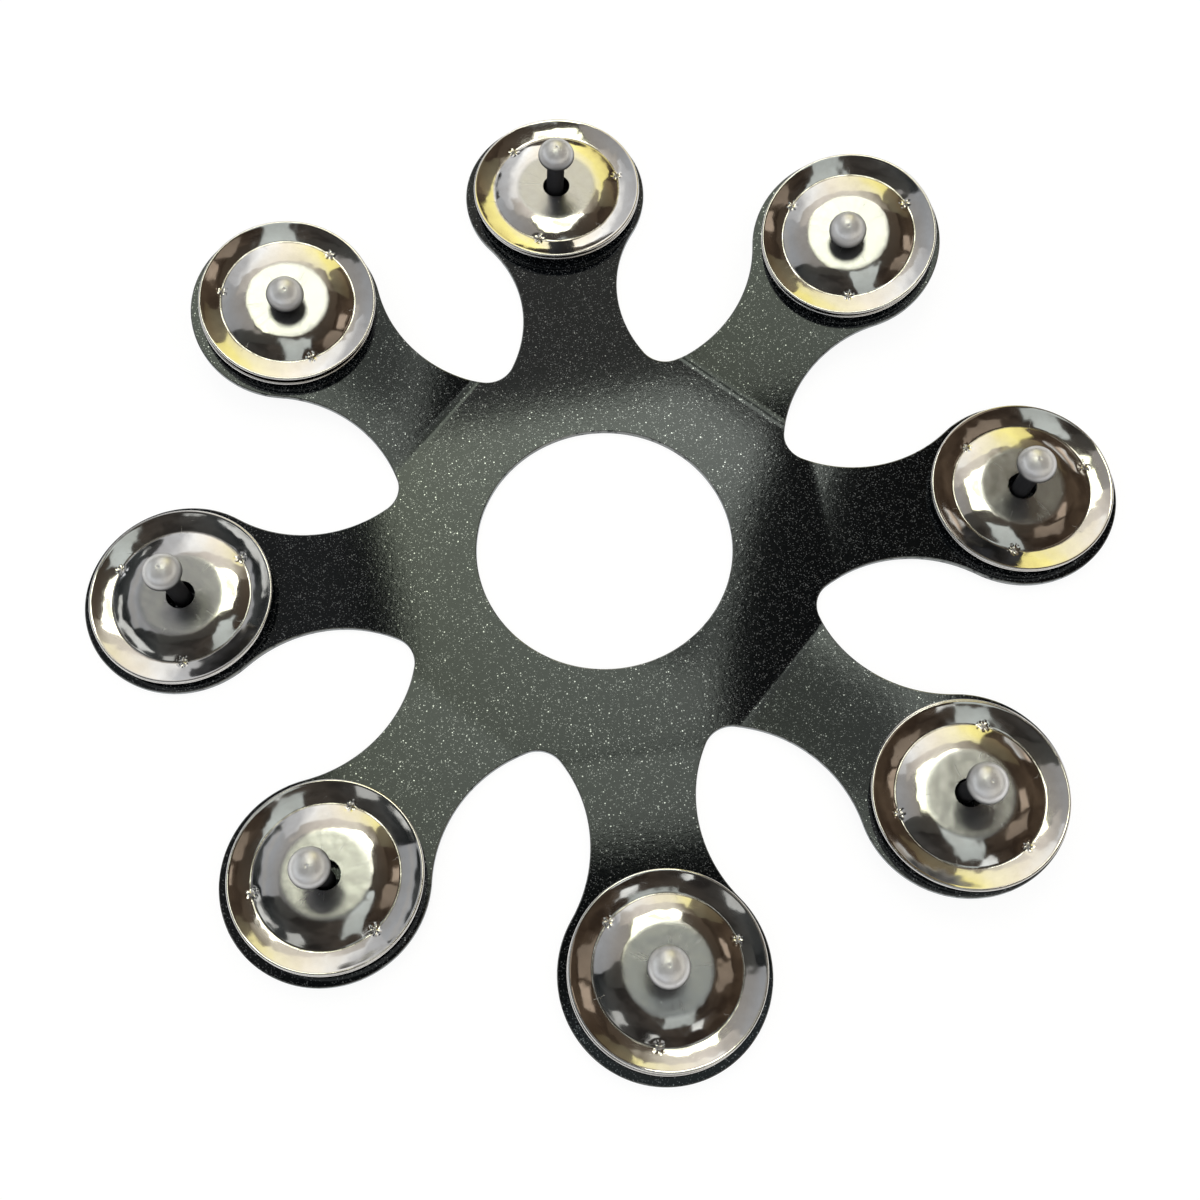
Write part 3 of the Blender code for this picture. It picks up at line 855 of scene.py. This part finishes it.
def swell(beside, outward, half_widths):
    """A smooth swelling, 1 at its middle, that fades out over its half widths."""
    return exp(-((beside / half_widths[0]) ** 2)) * exp(-((outward / half_widths[1]) ** 2))


def pinch_sheet(bm):
    """Press three small pinches into the crease: a dent with a raised dot in its middle.

    Each vertex keeps its place in millimetres from the nearest pinch, for the star around it.
    """
    layer = bm.verts.layers.float_vector.new("pinch_place")
    pitch = 2 * pi / PINCH_COUNT
    for vert in bm.verts:
        radius = hypot(vert.co.x, vert.co.y)
        angle = atan2(vert.co.y, vert.co.x)
        beside = ((angle + pitch / 2) % pitch - pitch / 2) * radius / MM
        outward = (radius - CREASE_RADIUS) / MM
        vert[layer] = (beside, outward, 0.0)
        if abs(outward) <= PINCH_REACH and abs(beside) <= PINCH_REACH:
            vert.co.z += PINCH_DOT_RISE * swell(beside, outward, PINCH_DOT_WIDTHS)
            vert.co.z -= PINCH_DENT_DEPTH * swell(beside, outward, PINCH_DENT_WIDTHS)


def disc_place(node):
    """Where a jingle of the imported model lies: +Z is its top and +X goes through a pinch."""
    places = [vert.co for vert in node.data.vertices]
    corners = {tuple(round(part, CORNER_DECIMALS) for part in place) for place in places}
    points = np.array(sorted(corners))
    centre = points.mean(axis=0)
    spread = np.cov((points - centre).T)
    up = np.linalg.eigh(spread)[1][:, 0]
    if up[2] < 0:
        up = -up
    away = points - centre
    flat = away - np.outer(away @ up, up)
    distance = np.linalg.norm(flat, axis=1)
    hub = points[distance < DISC_HOLE_RADIUS + HOLE_EDGE_REACH].mean(axis=0)
    pinched = flat[(distance > PINCHED_FROM) & (distance < PINCHED_TO)]
    first = pinched[0] / np.linalg.norm(pinched[0])
    side = np.cross(up, first)
    turns = np.arctan2(pinched @ side, pinched @ first)
    phase = np.angle(np.exp(1j * PINCH_COUNT * turns).mean()) / PINCH_COUNT
    x_axis = first * cos(phase) + side * sin(phase)
    y_axis = np.cross(up, x_axis)
    place = Matrix((x_axis, y_axis, up)).transposed().to_4x4()
    place.translation = Vector(hub)
    return place


def make_disc(layer, number, material):
    """One pressed jingle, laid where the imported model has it."""
    node = f"{layer}_jingle_{number}"
    rings, segments = DISC_DETAIL[layer]
    bm = revolve(disc_profile(rings), segments, closed=True)
    keep_place(bm, "disc_place", PATTERN_STEP * number + PATTERN_SHIFT[layer])
    pinch_sheet(bm)
    bm.transform(disc_place(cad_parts[node]))
    disc = piece_from(bm, f"{layer}_disc_{number}", material, ROUND_SHARP_ANGLE)
    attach(disc, f"{layer}_{number}")
    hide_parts(node)


def make_floor():
    """A plain pale floor that stays white to the camera and still takes the object's shadow."""
    finish = Finish(
        "pale floor",
        Base_Color=tint(0.86, 0.86, 0.86),
        Roughness=0.9,
        Specular_IOR_Level=0.0,
    )
    path = "ShaderNodeLightPath"
    seen = finish.node(path, give="Is Camera Ray").most(finish.node(path, give="Is Glossy Ray"))
    seen = seen.most(finish.node(path, give="Is Transmission Ray"))
    white = {"Color": tint(1, 1, 1), "Strength": FLOOR_GLOW}
    glow = finish.node("ShaderNodeEmission", None, white)
    lit = Reading(finish.shader.outputs[0])
    finish.mix_on_surface(seen * FLOOR_GLOW_SHARE, lit, glow)
    bm = bmesh.new()
    bmesh.ops.create_grid(bm, x_segments=1, y_segments=1, size=FLOOR_REACH)
    object_from(bm, "floor", finish.material)


def panel_glow(panel):
    """A panel's light: its colours run across it and its edges fade out unevenly."""
    finish = Finish(panel.name)
    x, y, _ = finish.apart(finish.place())
    sides = [corner[0] * panel.height for corner in panel.corners]
    ends = [corner[1] * panel.height for corner in panel.corners]
    across = x.ramp(min(sides), max(sides))
    along = y.ramp(min(ends), max(ends))
    colour = finish.node("ShaderNodeValToRGB", {"stops": panel.colours}, {"Fac": across})
    level = panel.near + (panel.far - panel.near) * along
    scaled = {0: colour, "Scale": level}
    shine = finish.node("ShaderNodeVectorMath", {"operation": "SCALE"}, scaled)
    light = finish.node("ShaderNodeEmission", None, {"Color": shine})
    clear = finish.node("ShaderNodeBsdfTransparent")
    ragged = finish.noise(finish.place(), 0.5 / panel.soft, 1.0)
    solid = (finish.own("glow", give="Fac") * 1.6 + ragged * 0.5 - 0.6).ramp(0.0, 1.0)
    finish.mix_on_surface(solid, clear, light)
    return finish.material


def make_panel(panel):
    """Hang one glowing panel overhead, with a border for its edge to fade out over."""
    bm = bmesh.new()
    height = panel.height
    corners = [bm.verts.new((x * height, y * height, height)) for x, y in panel.corners]
    bm.faces.new(corners)
    bmesh.ops.inset_region(
        bm,
        faces=bm.faces[:],
        thickness=panel.soft,
        use_even_offset=True,
        use_boundary=True,
    )
    glow = bm.verts.layers.float.new("glow")
    for vert in bm.verts:
        vert[glow] = 0.0 if vert.is_boundary else 1.0
    bmesh.ops.recalc_face_normals(bm, faces=bm.faces)
    card = object_from(bm, panel.name, panel_glow(panel))
    card.visible_camera = False


def make_world():
    """Even, soft room light. The camera sees white beyond the floor, and metal a dim room."""
    world = bpy.data.worlds.new("studio")
    bpy.context.scene.world = world
    world.use_nodes = True
    nodes = Nodes(world.node_tree)
    direction = nodes.node("ShaderNodeTexCoord", give="Generated")
    across = nodes.apart(direction)[0].ramp(-0.5, 0.5)
    dark = nodes.blend(across, tint(0.012, 0.014, 0.015), tint(0.030, 0.019, 0.012))
    pale = nodes.blend(across, tint(0.055, 0.060, 0.062), tint(0.110, 0.078, 0.052))
    room = nodes.blend(nodes.noise(direction, 4.0).ramp(0.38, 0.68), dark, pale)
    glossy = nodes.node("ShaderNodeLightPath", give="Is Glossy Ray")
    seen = nodes.node("ShaderNodeLightPath", give="Is Camera Ray")
    light = nodes.blend(glossy, tint(0.80, 0.80, 0.80), room)
    light = nodes.blend(seen, light, tint(1, 1, 1))
    nodes.put(world.node_tree.nodes["Background"].inputs["Color"], light)


def make_camera():
    """Stand the camera where the photograph was taken from, with the photograph's lens."""
    camera = bpy.data.cameras.new("camera")
    camera.lens = CAMERA_LENS
    camera.sensor_width = SENSOR_WIDTH
    camera.clip_start = CAMERA_CLIP_START
    viewer = bpy.data.objects.new("camera", camera)
    viewer.location = CAMERA_PLACE
    viewer.rotation_euler = Matrix(CAMERA_TURN).to_euler()
    bpy.context.collection.objects.link(viewer)
    bpy.context.scene.camera = viewer


scene = bpy.context.scene
scene.view_settings.view_transform = "Standard"
make_camera()
make_floor()
make_world()
for panel in PANELS:
    make_panel(panel)
make_plate(painted_plate())
steel = satin_steel()
plated = nickel()
for index, arm in enumerate(ARMS):
    make_pin(index, arm, steel)
    make_disc("lower", index + 1, plated)
    make_disc("upper", index + 1, plated)
